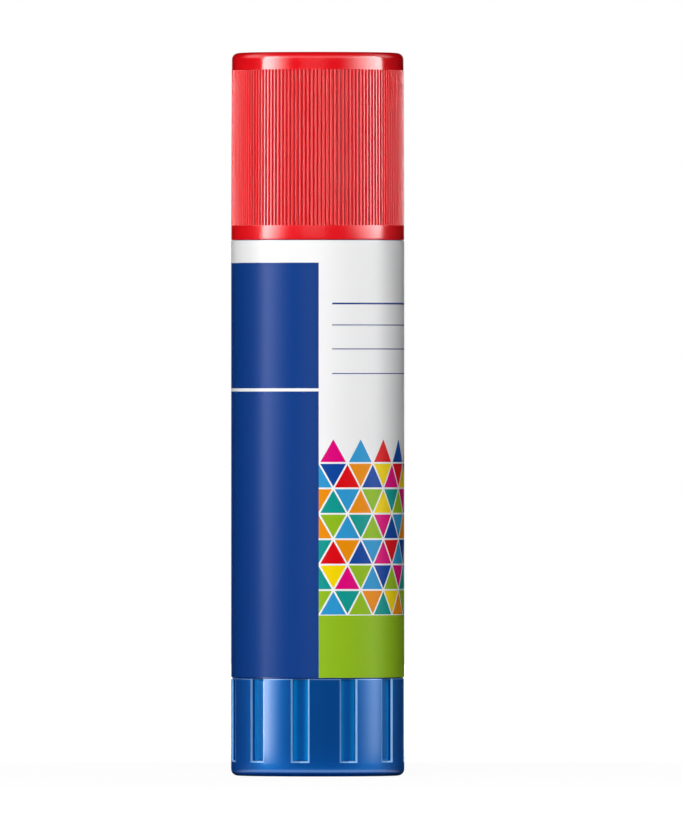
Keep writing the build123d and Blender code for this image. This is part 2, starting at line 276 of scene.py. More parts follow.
for (out_before, wide_before), (out_after, wide_after) in zip(growth, growth[1:]):
    bpy.ops.mesh.extrude_region_move(
        TRANSFORM_OT_translate={"value": (0, out_before - out_after, 0)}
    )
    across = (GROOVE_WIDTH + 2 * wide_after) / (GROOVE_WIDTH + 2 * wide_before)
    upwards = (groove_height + 2 * wide_after) / (groove_height + 2 * wide_before)
    bpy.ops.transform.resize(value=(across, 1, upwards), center_override=(0, 0, groove_middle))
bpy.ops.mesh.select_all(action="SELECT")
bpy.ops.mesh.normals_make_consistent(inside=False)
bpy.ops.transform.rotate(
    value=math.radians(GROOVE_TURN), orient_axis="Z", center_override=(0, 0, 0)
)
bpy.ops.object.mode_set(mode="OBJECT")
copied_round(groove, GROOVE_COUNT)
boolean(knob, groove, "DIFFERENCE")
smoothed(knob, KNOB_SHARP_ANGLE)
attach(knob, "knob")
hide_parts("knob")

# The moulding skin: its grain and its streaks are so many to the metre
SKIN_GRAIN = 900.0
SKIN_RELIEF = 0.15
STREAK_SCALE = 60.0
STREAK_SQUASH = 0.15


def paint(red, green, blue):
    """A colour given as on a screen, from 0 to 255, as the linear values that a shader takes."""
    linear = []
    for part in (red, green, blue):
        share = part / 255
        linear.append(share / 12.92 if share <= 0.04045 else ((share + 0.055) / 1.055) ** 2.4)
    return (*linear, 1)


def feed(tree, socket, value):
    """Gives an input a link from another node's output, or a plain value."""
    if isinstance(value, bpy.types.NodeSocket):
        tree.links.new(value, socket)
    else:
        socket.default_value = value


def add_node(tree, kind, **inputs):
    """A node with its inputs fed by name, or by number after an underscore."""
    node = tree.nodes.new(kind)
    for name, value in inputs.items():
        place = int(name[1:]) if name[1:].isdigit() else name.replace("_", " ")
        feed(tree, node.inputs[place], value)
    return node


def maths(tree, operation, *values):
    """The result of one Math node."""
    node = tree.nodes.new("ShaderNodeMath")
    node.operation = operation
    for socket, value in zip(node.inputs, values):
        feed(tree, socket, value)
    return node.outputs[0]


def mixed(tree, factor, low, high):
    """A colour mixed from two by a factor."""
    node = tree.nodes.new("ShaderNodeMix")
    node.data_type = "RGBA"

    # A Mix node lists the inputs of all its data types: these are the factor and the two colours
    for place, value in ((0, factor), (6, low), (7, high)):
        feed(tree, node.inputs[place], value)
    return node.outputs[2]


def between(tree, value, low, high):
    """1 where a value lies between two limits, and 0 elsewhere."""
    above = maths(tree, "GREATER_THAN", value, low)
    below = maths(tree, "LESS_THAN", value, high)
    return maths(tree, "MULTIPLY", above, below)


def soft_step(tree, value, start, end):
    """A smooth rise from 0 at the start to 1 at the end, whichever of the two is the larger."""
    node = add_node(tree, "ShaderNodeMapRange", Value=value, From_Min=start, From_Max=end)
    node.interpolation_type = "SMOOTHSTEP"
    return node.outputs["Result"]


def object_axes(tree):
    """X, Y and Z in the object's own space."""
    where = tree.nodes.new("ShaderNodeTexCoord").outputs["Object"]
    return add_node(tree, "ShaderNodeSeparateXYZ", Vector=where).outputs


def off_axis(tree, axes):
    """The distance from the Z axis."""
    squares = maths(tree, "MULTIPLY", axes["X"], axes["X"])
    return maths(tree, "SQRT", maths(tree, "MULTIPLY_ADD", axes["Y"], axes["Y"], squares))


def turn_from_front(tree, axes):
    """The angle round the Z axis, from 0 at the front and growing towards +X."""
    return maths(tree, "ARCTAN2", axes["X"], maths(tree, "MULTIPLY", axes["Y"], -1.0))


def moulding_skin():
    """Node group: the faint unevenness of a moulded face, in its dullness, its relief and its tint."""
    group = bpy.data.node_groups.new("moulding_skin", "ShaderNodeTree")
    for name in ("Grain", "Streaks", "Dullness", "Haze"):
        group.interface.new_socket(name=name, in_out="INPUT", socket_type="NodeSocketFloat")
    for name in ("Roughness", "Height", "Tint"):
        group.interface.new_socket(name=name, in_out="OUTPUT", socket_type="NodeSocketFloat")
    given = group.nodes.new("NodeGroupInput").outputs
    result = group.nodes.new("NodeGroupOutput").inputs
    where = group.nodes.new("ShaderNodeTexCoord").outputs["Object"]
    fine = add_node(group, "ShaderNodeTexNoise", Vector=where, Scale=given["Grain"], Detail=3.0)

    # Squashing the heights that the pattern reads draws it out into upright streaks
    squashed = add_node(group, "ShaderNodeMapping", Vector=where, Scale=(1, 1, STREAK_SQUASH))
    flow = add_node(
        group,
        "ShaderNodeTexNoise",
        Vector=squashed.outputs[0],
        Scale=given["Streaks"],
        Detail=2.0,
    )
    unevenness = maths(group, "SUBTRACT", flow.outputs["Fac"], 0.5)
    rough = maths(group, "MULTIPLY_ADD", unevenness, given["Haze"], given["Dullness"])
    group.links.new(rough, result["Roughness"])
    group.links.new(fine.outputs["Fac"], result["Height"])
    group.links.new(flow.outputs["Fac"], result["Tint"])
    return group


SKIN = moulding_skin()


def new_material(name):
    """A material with a plain shader to build its finish on."""
    material = bpy.data.materials.new(name)
    material.use_nodes = True
    return material


def skinned(material, dullness, haze, relief_depth, relief=SKIN_RELIEF, grain=SKIN_GRAIN):
    """Puts the moulding skin in a material's roughness and normal, and gives the skin's tint."""
    tree = material.node_tree
    shader = tree.nodes["Principled BSDF"]
    skin = add_node(tree, "ShaderNodeGroup")
    skin.node_tree = SKIN
    skin.inputs["Grain"].default_value = grain
    skin.inputs["Streaks"].default_value = STREAK_SCALE
    skin.inputs["Dullness"].default_value = dullness
    skin.inputs["Haze"].default_value = haze
    bump = add_node(
        tree, "ShaderNodeBump", Strength=relief, Distance=relief_depth, Height=skin.outputs["Height"]
    )
    tree.links.new(skin.outputs["Roughness"], shader.inputs["Roughness"])
    tree.links.new(bump.outputs[0], shader.inputs["Normal"])
    return skin.outputs["Tint"]


def moulded(name, dark, light, dullness, haze, relief_depth=0.0, subsurface=0.0):
    """A moulded plastic: two close tints in faint streaks, on the moulding skin."""
    material = new_material(name)
    tint = skinned(material, dullness, haze, relief_depth)
    tree = material.node_tree
    shader = tree.nodes["Principled BSDF"]
    tree.links.new(mixed(tree, tint, dark, light), shader.inputs["Base Color"])
    shader.inputs["Subsurface Weight"].default_value = subsurface
    return material


DEEP_BLUE = paint(0, 34, 100)
DEEP_BLUE_LIGHT = paint(0, 42, 112)
# Painted light in the knob's colour: a lighter blue at its edges, a glow and shade in the groove floors,
# and highlights on the lips and the brim
EDGE_LIGHT_BLUE = paint(0, 80, 180)
EDGE_LIGHT_BLEND = 0.35
GLOW_TEAL = paint(40, 170, 255)
KNOB_DULLNESS = 0.42
KNOB_HAZE = 0.04
KNOB_SPECULAR = 0.88
KNOB_IOR = 1.75
KNOB_COAT = 0.66
KNOB_COAT_DULLNESS = 0.07
GROOVE_SHADE_BLUE = paint(0, 52, 122)
GROOVE_GLOW_TEAL = paint(0, 118, 184)
GROOVE_FADE = (GROOVE_WIDTH * 0.1, GROOVE_WIDTH * 0.52)
LIP_HIGHLIGHT_BLUE = paint(150, 196, 236)
LIP_HIGHLIGHT = 0.5
RIGHT_LIP_HIGHLIGHT = 0.9
LIP_FADE = (GROOVE_EDGE * 0.3, GROOVE_EDGE * 0.75)
BRIM_FADE = (KNOB_HEIGHT - KNOB_LIP * 0.8, KNOB_HEIGHT - KNOB_LIP * 0.4)
BRIM_HIGHLIGHT = 0.35


def tinted_knob():
    """The knob's plastic, with light painted into its colour: a painted edge light, a painted glow and
    painted shade in the groove floors, and painted highlights along the grooves' lips and the top brim.
    """
    material = moulded(
        "tinted_polypropylene", DEEP_BLUE, DEEP_BLUE_LIGHT, KNOB_DULLNESS, KNOB_HAZE
    )
    tree = material.node_tree
    shader = tree.nodes["Principled BSDF"]
    shader.inputs["Specular Tint"].default_value = GLOW_TEAL
    shader.inputs["Specular IOR Level"].default_value = KNOB_SPECULAR
    shader.inputs["IOR"].default_value = KNOB_IOR
    shader.inputs["Coat Weight"].default_value = KNOB_COAT
    shader.inputs["Coat Roughness"].default_value = KNOB_COAT_DULLNESS
    body = shader.inputs["Base Color"].links[0].from_socket
    # Painted edge light: the blue turns lighter where the surface turns away from the view
    edge = add_node(tree, "ShaderNodeLayerWeight", Blend=EDGE_LIGHT_BLEND).outputs["Facing"]
    body = mixed(tree, edge, body, EDGE_LIGHT_BLUE)

    # How far a point lies from the middle of the nearest groove, round the knob
    axes = object_axes(tree)
    radius = off_axis(tree, axes)
    turn = turn_from_front(tree, axes)
    pitch = 2 * math.pi / GROOVE_COUNT
    place = maths(tree, "DIVIDE", maths(tree, "ADD", turn, math.radians(GROOVE_TURN)), pitch)
    place = maths(tree, "SUBTRACT", place, maths(tree, "ROUND", place))
    aside = maths(tree, "MULTIPLY", maths(tree, "ABSOLUTE", place), pitch * BODY_RADIUS)

    # Groove floors: a painted teal glow towards the walls and painted shade in the middle
    in_floor = maths(tree, "LESS_THAN", radius, BODY_RADIUS - GROOVE_DEPTH + GROOVE_CORNER)
    to_wall = soft_step(tree, aside, *GROOVE_FADE)
    floor_glow_and_shade = mixed(tree, to_wall, GROOVE_SHADE_BLUE, GROOVE_GLOW_TEAL)
    colour = mixed(tree, in_floor, body, floor_glow_and_shade)

    # Painted highlights on the lips: how far a point lies from the groove's outline. One side of each
    # groove gets the stronger painted highlight
    beside = maths(tree, "SUBTRACT", aside, (GROOVE_WIDTH + GROOVE_EDGE) / 2)
    under = maths(tree, "SUBTRACT", GROOVE_FOOT - GROOVE_EDGE / 2, axes["Z"])
    off = maths(tree, "ABSOLUTE", maths(tree, "MAXIMUM", beside, under))
    lip = maths(tree, "SUBTRACT", 1.0, soft_step(tree, off, *LIP_FADE))
    on_lip = between(tree, radius, BODY_RADIUS - GROOVE_EDGE, BODY_RADIUS + GROOVE_EDGE)
    right_side = maths(tree, "GREATER_THAN", place, 0.0)
    lip_highlight_strength = maths(tree, "MULTIPLY_ADD", right_side, RIGHT_LIP_HIGHLIGHT - LIP_HIGHLIGHT, LIP_HIGHLIGHT)
    lip = maths(tree, "MULTIPLY", maths(tree, "MULTIPLY", lip, on_lip), lip_highlight_strength)
    # A painted highlight along the knob's top brim
    brim_highlight = soft_step(tree, axes["Z"], *BRIM_FADE)
    lip = maths(tree, "MAXIMUM", lip, maths(tree, "MULTIPLY", brim_highlight, BRIM_HIGHLIGHT))
    colour = mixed(tree, lip, colour, LIP_HIGHLIGHT_BLUE)
    tree.links.new(colour, shader.inputs["Base Color"])
    return material


knob.data.materials.append(tinted_knob())

# Spindle: the left-hand screw up the middle, moulded in natural polypropylene. It is pressed into
# the knob's hub and snapped through the barrel's floor.
FINE_RELIEF = 0.01 * MM
NATURAL_DARK = paint(226, 226, 220)
NATURAL_LIGHT = paint(240, 240, 236)


def dressed(node, material):
    """Gives a CAD node, whose shape stays, its material."""
    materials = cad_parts[node].data.materials
    materials.clear()
    materials.append(material)


natural = moulded(
    "natural_polypropylene",
    NATURAL_DARK,
    NATURAL_LIGHT,
    dullness=0.35,
    haze=0.1,
    relief_depth=FINE_RELIEF,
)
dressed("spindle", natural)

# Barrel: the blue tube that everything is built on, moulded in glossy polypropylene. Its neck takes
# the cap, and the label covers it from there to the knob.
BARREL_DARK = paint(6, 48, 120)
BARREL_LIGHT = paint(10, 60, 140)
barrel_blue = moulded(
    "barrel_polypropylene",
    BARREL_DARK,
    BARREL_LIGHT,
    dullness=0.22,
    haze=0.08,
    relief_depth=FINE_RELIEF,
)
dressed("barrel", barrel_blue)

# Label: a printed film, wrapped once round the barrel, with its ends meeting in a seam at the back.
# The print is a plain blue panel with a white rule, ruled lines for writing on, a band of coloured
# triangles and a lime foot.
LABEL_LOW, LABEL_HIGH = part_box("label")
LABEL_THICKNESS = 0.12 * MM
LABEL_SEAM = 0.3 * MM
LABEL_SEGMENTS = 360
LABEL_SHARP_ANGLE = 40
FILM_DULLNESS = 0.3
FILM_HAZE = 0.05
FILM_RELIEF = 0.1
FILM_GRAIN = 400.0
FILM_SPECULAR = 0.08
LIME = paint(149, 193, 31)
PANEL_BLUE = paint(14, 61, 136)
INK_BLUE = paint(24, 60, 136)
FILM_WHITE = paint(250, 250, 251)
MOSAIC_COLOURS = (
    paint(255, 222, 0),
    paint(243, 146, 0),
    paint(11, 70, 160),
    paint(227, 6, 19),
    paint(46, 155, 214),
    paint(230, 0, 126),
    paint(15, 156, 147),
    LIME,
)

# The print is laid out in millimetres: round the barrel from its front, and up from the foot
PER_MM = 1 / MM
PANEL_LEFT = -23.1
PANEL_RIGHT = 0.18
PANEL_TOP = 85.8
PANEL_RULE = (64.3, 64.82)
PRINT_RIGHT = 38.0
RULES_LEFT = 2.43
TITLE_RULE = (78.84, 79.12)
WRITING_RULES = (75.4, 71.4, 67.3)
WRITING_RULE_WIDTH = 0.16
MOSAIC_FOOT = 26.9
MOSAIC_ROWS = 7
MOSAIC_SIDE = 4.9
MOSAIC_GAP_SHARE = 0.035

# How many colours further on the next cell is, the next row, and a triangle that points down. A
# random draw moves about half of the triangles further on too
CELL_STEP = 3.0
ROW_STEP = 5.0
DOWN_STEP = 2.0
CHANCE_STEP = 4.0

half_seam = LABEL_SEAM / 2 / BODY_RADIUS
label_foot = LABEL_LOW.z - SEAM_CLOSING
bpy.ops.object.select_all(action="DESELECT")
bpy.ops.mesh.primitive_grid_add(x_subdivisions=LABEL_SEGMENTS, y_subdivisions=1, size=1)
label = bpy.context.object
label.name = "label_film"
for vertex in label.data.vertices:
    angle = 2 * (math.pi - half_seam) * vertex.co.x
    height = label_foot + (vertex.co.y + 0.5) * (LABEL_HIGH.z - label_foot)
    vertex.co = (BODY_RADIUS * math.sin(angle), -BODY_RADIUS * math.cos(angle), height)
film = label.modifiers.new("film", "SOLIDIFY")
film.thickness = LABEL_THICKNESS
film.offset = -1
bpy.ops.object.modifier_apply(modifier=film.name)
smoothed(label, LABEL_SHARP_ANGLE)
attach(label, "barrel")
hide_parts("label")


def label_print():
    """The label's material: print in millimetres round the barrel and up it, under a satin film."""
    material = new_material("printed_film")
    skinned(material, FILM_DULLNESS, FILM_HAZE, FINE_RELIEF, FILM_RELIEF, FILM_GRAIN)
    tree = material.node_tree
    shader = tree.nodes["Principled BSDF"]
    shader.inputs["Specular IOR Level"].default_value = FILM_SPECULAR
    axes = object_axes(tree)
    around = maths(tree, "MULTIPLY", turn_from_front(tree, axes), BODY_RADIUS * PER_MM)
    up = maths(tree, "MULTIPLY", axes["Z"], PER_MM)

    # Ruled lines for a name, under one bolder rule
    right_part = between(tree, around, RULES_LEFT, PRINT_RIGHT)
    lines = maths(tree, "MULTIPLY", right_part, between(tree, up, *TITLE_RULE))
    for height in WRITING_RULES:
        rule = between(tree, up, height - WRITING_RULE_WIDTH / 2, height + WRITING_RULE_WIDTH / 2)
        lines = maths(tree, "MAXIMUM", lines, maths(tree, "MULTIPLY", right_part, rule))
    colour = mixed(tree, lines, FILM_WHITE, INK_BLUE)

    # The blue panel and its white rule
    panel_width = between(tree, around, PANEL_LEFT, PANEL_RIGHT)
    panel = maths(tree, "MULTIPLY", panel_width, maths(tree, "LESS_THAN", up, PANEL_TOP))
    rule = between(tree, up, *PANEL_RULE)
    panel = maths(tree, "MULTIPLY", panel, maths(tree, "SUBTRACT", 1.0, rule))
    colour = mixed(tree, panel, colour, PANEL_BLUE)

    # Triangles on a slanted grid: each cell holds one that points up and one that points down
    row_height = MOSAIC_SIDE * math.sqrt(3) / 2
    row = maths(tree, "DIVIDE", maths(tree, "SUBTRACT", up, MOSAIC_FOOT), row_height)
    along = maths(tree, "DIVIDE", maths(tree, "SUBTRACT", around, PANEL_RIGHT), MOSAIC_SIDE)
    slanted = maths(tree, "MULTIPLY_ADD", row, -0.5, along)
    row_number = maths(tree, "FLOOR", row)
    cell_number = maths(tree, "FLOOR", slanted)
    in_row = maths(tree, "FRACT", row)
    in_cell = maths(tree, "FRACT", slanted)
    both = maths(tree, "ADD", in_row, in_cell)
    down = maths(tree, "GREATER_THAN", both, 1.0)

    # A triangle's colour, by its cell, its row, which way it points and a random draw
    cell = add_node(tree, "ShaderNodeCombineXYZ", X=cell_number, Y=row_number, Z=down)
    chance = add_node(tree, "ShaderNodeTexWhiteNoise", Vector=cell.outputs[0]).outputs["Value"]
    order = maths(tree, "MULTIPLY", maths(tree, "ROUND", chance), CHANCE_STEP)
    order = maths(tree, "MULTIPLY_ADD", cell_number, CELL_STEP, order)
    order = maths(tree, "MULTIPLY_ADD", row_number, ROW_STEP, order)
    order = maths(tree, "MULTIPLY_ADD", down, DOWN_STEP, order)
    count = len(MOSAIC_COLOURS)
    order = maths(tree, "FLOORED_MODULO", order, float(count))
    order = maths(tree, "DIVIDE", maths(tree, "ADD", order, 0.5), float(count))
    ramp = tree.nodes.new("ShaderNodeValToRGB")
    ramp.color_ramp.interpolation = "CONSTANT"
    stops = ramp.color_ramp.elements
    while len(stops) < count:
        stops.new(len(stops) / count)
    for place, ink in enumerate(MOSAIC_COLOURS):
        stops[place].position = place / count
        stops[place].color = ink
    tree.links.new(order, ramp.inputs[0])

    # White gaps run between the triangles, and those of the top row that point down are left out
    edge = maths(tree, "ABSOLUTE", maths(tree, "SUBTRACT", both, 1.0))
    for share in (in_row, in_cell):
        edge = maths(tree, "MINIMUM", edge, share)
        edge = maths(tree, "MINIMUM", edge, maths(tree, "SUBTRACT", 1.0, share))
    tile = maths(tree, "GREATER_THAN", edge, MOSAIC_GAP_SHARE)
    full_rows = maths(tree, "LESS_THAN", maths(tree, "ADD", row_number, down), MOSAIC_ROWS - 0.5)
    printed = between(tree, around, PANEL_RIGHT, PRINT_RIGHT)
    mosaic = maths(tree, "MULTIPLY", printed, maths(tree, "GREATER_THAN", row, 0.0))
    mosaic = maths(tree, "MULTIPLY", mosaic, full_rows)
    mosaic = maths(tree, "MULTIPLY", mosaic, tile)
    colour = mixed(tree, mosaic, colour, ramp.outputs[0])

    # The plain foot under the triangles
    foot = maths(tree, "MULTIPLY", printed, maths(tree, "LESS_THAN", up, MOSAIC_FOOT))
    colour = mixed(tree, foot, colour, LIME)
    tree.links.new(colour, shader.inputs["Base Color"])
    return material


label.data.materials.append(label_print())

# Carrier: the cup that holds the foot of the glue, moulded in natural polyethylene, with the nut
# that rides on the screw.
dressed("carrier", natural)

# Glue: the stick of adhesive, cast into the carrier and trimmed flat, with a groove each side where
# it passes the barrel's inner ribs.
GLUE_LOW, GLUE_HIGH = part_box("glue")
GLUE_RADIUS = GLUE_HIGH.y
GLUE_CUP_RADIUS = 11.01 * MM
GLUE_CUP_GAP = 0.04 * MM
GLUE_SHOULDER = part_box("carrier")[1].z + GLUE_CUP_GAP
GLUE_EDGE = 1.2 * MM
GLUE_COVER = 4.0 * MM
GLUE_BORE = 4.1 * MM
GLUE_NUT_RADIUS = 5.29 * MM
GLUE_NUT_TOP = 28.74 * MM
GLUE_SEGMENTS = 144
GLUE_SHARP_ANGLE = 32
GLUE_GROOVE_COUNT = 2
GLUE_GROOVE_DEPTH = 0.55 * MM
GLUE_GROOVE_WIDTH = 1.8 * MM
GLUE_FIN_COUNT = 4
GLUE_FIN_TURN = 45
GLUE_FIN_SLOT = 0.98 * MM
GLUE_FIN_HEIGHT = 4.04 * MM
GLUE_RELIEF = 0.03 * MM
GLUE_CREAM = paint(238, 236, 226)
GLUE_WHITE = paint(247, 246, 240)
glue = turned(
    "glue_stick",
    rounded(
        [
            (GLUE_BORE, GLUE_HIGH.z - GLUE_COVER, 0),
            (GLUE_BORE, GLUE_NUT_TOP, 0),
            (GLUE_NUT_RADIUS, GLUE_NUT_TOP, 0),
            (GLUE_NUT_RADIUS, GLUE_LOW.z, 0),
            (GLUE_CUP_RADIUS, GLUE_LOW.z, 0),
            (GLUE_CUP_RADIUS, GLUE_SHOULDER, 0),
            (GLUE_RADIUS, GLUE_SHOULDER, 0),
            (GLUE_RADIUS, GLUE_HIGH.z, GLUE_EDGE),
            (0, GLUE_HIGH.z, 0),
        ]
    ),
    GLUE_SEGMENTS,
    foot="TRIFAN",
)
rib_grooves = bars(
    inner=GLUE_RADIUS - GLUE_GROOVE_DEPTH,
    outer=GLUE_RADIUS + CUT_OVERRUN,
    width=GLUE_GROOVE_WIDTH,
    low=GLUE_SHOULDER - CUT_OVERRUN,
    high=GLUE_HIGH.z + CUT_OVERRUN,
    count=GLUE_GROOVE_COUNT,
)
boolean(glue, rib_grooves, "DIFFERENCE")
fin_slots = bars(
    inner=GLUE_NUT_RADIUS - CUT_OVERRUN,
    outer=GLUE_CUP_RADIUS + CUT_OVERRUN,
    width=GLUE_FIN_SLOT,
    low=GLUE_LOW.z - CUT_OVERRUN,
    high=GLUE_LOW.z + GLUE_FIN_HEIGHT,
    count=GLUE_FIN_COUNT,
    turn=GLUE_FIN_TURN,
)
boolean(glue, fin_slots, "DIFFERENCE")
smoothed(glue, GLUE_SHARP_ANGLE)
glue_white = moulded(
    "cast_adhesive",
    GLUE_CREAM,
    GLUE_WHITE,
    dullness=0.42,
    haze=0.12,
    relief_depth=GLUE_RELIEF,
    subsurface=0.2,
)
glue.data.materials.append(glue_white)
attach(glue, "carrier")
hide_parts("glue")

# Cap: a glossy red shell with fine upright ribs between a plain band at its mouth and a plain crown,
# moulded in polypropylene. It pushes over the neck, and a soft plug is snapped in under its top.
CAP_LOW, CAP_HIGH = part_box("cap_shell")
CAP_BAND = 2.4 * MM
CAP_CROWN = 2.9 * MM
CAP_EDGE = 1.1 * MM
CAP_LIP = 0.2 * MM
CAP_LEAD_IN = 0.3 * MM
CAP_TOP_WALL = 1.4 * MM
CAP_BORE = 13.45 * MM
CAP_DRAFT = math.radians(0.2)
CAP_SHARP_ANGLE = 50
CAP_SNAP_HEIGHT = 94.6 * MM
CAP_SNAP_WIDTH = 1.2 * MM
CAP_SNAP_DEPTH = 0.12 * MM
CAP_BEAD_TOP = 118.68 * MM
CAP_BEAD_WIDTH = 0.6 * MM
CAP_BEAD_HEIGHT = 0.18 * MM
CAP_DISH = 11.0 * MM
CAP_DISH_DEPTH = 0.3 * MM
RIB_COUNT = 138
RIB_DEPTH = 0.25 * MM
RIB_RAMP = 0.05 * MM
RIB_SEGMENTS = 12
RIB_CREST_SHARE = 0.15
RIB_FLANK_SHARE = 0.28
RIB_MARGIN = 0.02 * MM


def cap_radius(height):
    """The cap's outer radius, which narrows a little upwards."""
    return BODY_RADIUS - (height - CAP_LOW.z) * math.tan(CAP_DRAFT)


rib_foot = CAP_LOW.z + CAP_BAND
rib_head = CAP_HIGH.z - CAP_CROWN
rib_heights = (
    rib_foot - RIB_MARGIN,
    rib_foot,
    rib_foot + RIB_RAMP,
    rib_foot + RIB_RAMP + RIB_MARGIN,
    rib_head - RIB_RAMP - RIB_MARGIN,
    rib_head - RIB_RAMP,
    rib_head,
    rib_head + RIB_MARGIN,
)
cap_corners = [
    (CAP_BORE + CAP_LEAD_IN, CAP_LOW.z, 0),
    (cap_radius(CAP_LOW.z), CAP_LOW.z, CAP_LIP),
    *((cap_radius(height), height, 0) for height in rib_heights),
    (cap_radius(CAP_HIGH.z), CAP_HIGH.z, CAP_EDGE),
    (CAP_DISH, CAP_HIGH.z, CAP_LIP),
    (CAP_DISH - CAP_DISH_DEPTH, CAP_HIGH.z - CAP_DISH_DEPTH, CAP_LIP),
    (0, CAP_HIGH.z - CAP_DISH_DEPTH, 0),
]
cap = turned("cap_moulding", rounded(cap_corners), RIB_COUNT * RIB_SEGMENTS)

# Between the ribs the wall sinks into valleys with curved flanks
for vertex in cap.data.vertices:
    if rib_foot + RIB_RAMP / 2 < vertex.co.z < rib_head - RIB_RAMP / 2:
        turns = RIB_COUNT * math.atan2(vertex.co.y, vertex.co.x) / (2 * math.pi)
        off_crest = abs(turns - round(turns))
        slope = min(1, max(0, (off_crest - RIB_CREST_SHARE) / RIB_FLANK_SHARE))
        valley = 0.5 - 0.5 * math.cos(math.pi * slope)
        radius = vertex.co.xy.length
        vertex.co.xy *= (radius - RIB_DEPTH * valley) / radius

# The inside is a second lathe shape, joined to the outside at the mouth. A shallow groove snaps over
# the neck's bead, and a bead of its own holds the seal.
cap_bore = turned(
    "cap_bore",
    [
        (CAP_BORE + CAP_LEAD_IN, CAP_LOW.z),
        (CAP_BORE, CAP_LOW.z + CAP_LEAD_IN),
        (CAP_BORE, CAP_SNAP_HEIGHT - CAP_SNAP_WIDTH),
        (CAP_BORE + CAP_SNAP_DEPTH, CAP_SNAP_HEIGHT),
        (CAP_BORE, CAP_SNAP_HEIGHT + CAP_SNAP_WIDTH),
        (CAP_BORE, CAP_BEAD_TOP - CAP_BEAD_WIDTH),
        (CAP_BORE - CAP_BEAD_HEIGHT, CAP_BEAD_TOP - CAP_BEAD_WIDTH / 2),
        (CAP_BORE, CAP_BEAD_TOP),
        (CAP_BORE, CAP_HIGH.z - CAP_TOP_WALL),
        (0, CAP_HIGH.z - CAP_TOP_WALL),
    ],
    RIB_COUNT * RIB_SEGMENTS,
)
bpy.ops.object.select_all(action="DESELECT")
cap_bore.select_set(True)
cap.select_set(True)
bpy.context.view_layer.objects.active = cap
bpy.ops.object.join()
bpy.ops.object.mode_set(mode="EDIT")
bpy.ops.mesh.select_all(action="SELECT")
bpy.ops.mesh.remove_doubles(threshold=MERGE)
bpy.ops.mesh.normals_make_consistent(inside=False)
bpy.ops.object.mode_set(mode="OBJECT")
smoothed(cap, CAP_SHARP_ANGLE)
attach(cap, "cap")
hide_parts("cap_shell")

CAP_RED = paint(234, 16, 28)
CAP_RED_LIGHT = paint(240, 22, 34)
CAP_DULLNESS = 0.12
CAP_HAZE = 0.02
# Painted light in the cap's colour: shade in the rib valleys and a brighter red at its edges
VALLEY_SHADE_RED = paint(120, 5, 16)
VALLEY_FADE = (RIB_DEPTH * 0.3, RIB_DEPTH * 0.95)
VALLEY_SHADE = 0.85
RIB_DULLNESS = 0.05
BAND_DULLNESS = 0.07
EDGE_LIGHT_RED = paint(255, 14, 22)


def ribbed_red():
    """The cap's plastic: painted shade darkens the valleys between the ribs, a painted edge light
    brightens its red where it turns away from the view, and its crown is glossiest.
    """
    material = moulded("red_polypropylene", CAP_RED, CAP_RED_LIGHT, CAP_DULLNESS, CAP_HAZE)
    tree = material.node_tree
    shader = tree.nodes["Principled BSDF"]
    body = shader.inputs["Base Color"].links[0].from_socket
    axes = object_axes(tree)

    # How deep a point lies under the ribs' crests
    slope = math.tan(CAP_DRAFT)
    crest = maths(tree, "MULTIPLY_ADD", axes["Z"], -slope, BODY_RADIUS + CAP_LOW.z * slope)
    depth = maths(tree, "SUBTRACT", crest, off_axis(tree, axes))
    down = soft_step(tree, depth, *VALLEY_FADE)
    on_ribs = between(tree, axes["Z"], rib_foot, rib_head)
    # Painted shade in the valleys between the ribs
    valley = maths(tree, "MULTIPLY", maths(tree, "MULTIPLY", down, on_ribs), VALLEY_SHADE)

    # The ribs and the band add to the crown's dullness
    dullness = shader.inputs["Roughness"].links[0].from_socket
    dullness = maths(tree, "MULTIPLY_ADD", on_ribs, RIB_DULLNESS, dullness)
    on_band = maths(tree, "LESS_THAN", axes["Z"], rib_foot)
    dullness = maths(tree, "MULTIPLY_ADD", on_band, BAND_DULLNESS, dullness)
    tree.links.new(dullness, shader.inputs["Roughness"])
    colour = mixed(tree, valley, body, VALLEY_SHADE_RED)
    # Painted edge light: the red turns brighter where the surface turns away from the view
    edge = add_node(tree, "ShaderNodeLayerWeight", Blend=EDGE_LIGHT_BLEND).outputs["Facing"]
    colour = mixed(tree, edge, colour, EDGE_LIGHT_RED)
    tree.links.new(colour, shader.inputs["Base Color"])
    return material


cap.data.materials.append(ribbed_red())

# Cap seal: the soft plug under the cap's top, moulded in natural polyethylene. It is snapped in over
# the bead, and its lip closes the barrel's mouth so that the glue doesn't dry.
dressed("cap_seal", natural)

# Stage: a white floor under plain studio light. The camera sees floor and backdrop at plain white, and
# the floor keeps a faint shadow. Gloss sees a dark room with a bright crescent of floor in front of the
# stick, the backdrop straight behind it, a ring of light overhead and a tall softbox at each side.
PLAIN_WHITE = (1, 1, 1, 1)
FLOOR_SIZE = 4.0
FLOOR_DROP = 0.02 * MM
FLOOR_GREY = paint(180, 180, 180)
FLOOR_DULLNESS = 0.9
FLOOR_GLOW = 0.6
FLOOR_GLOW_LEVEL = 1.49
FLOOR_FAR = (0.15, 0.5)
CRESCENT_LEVEL = 3.3
CRESCENT_INNER = (14.6 * MM, 15.8 * MM)
CRESCENT_OUTER = (18.0 * MM, 24.0 * MM)
CRESCENT_FRONT = (0.0, -16.0 * MM)


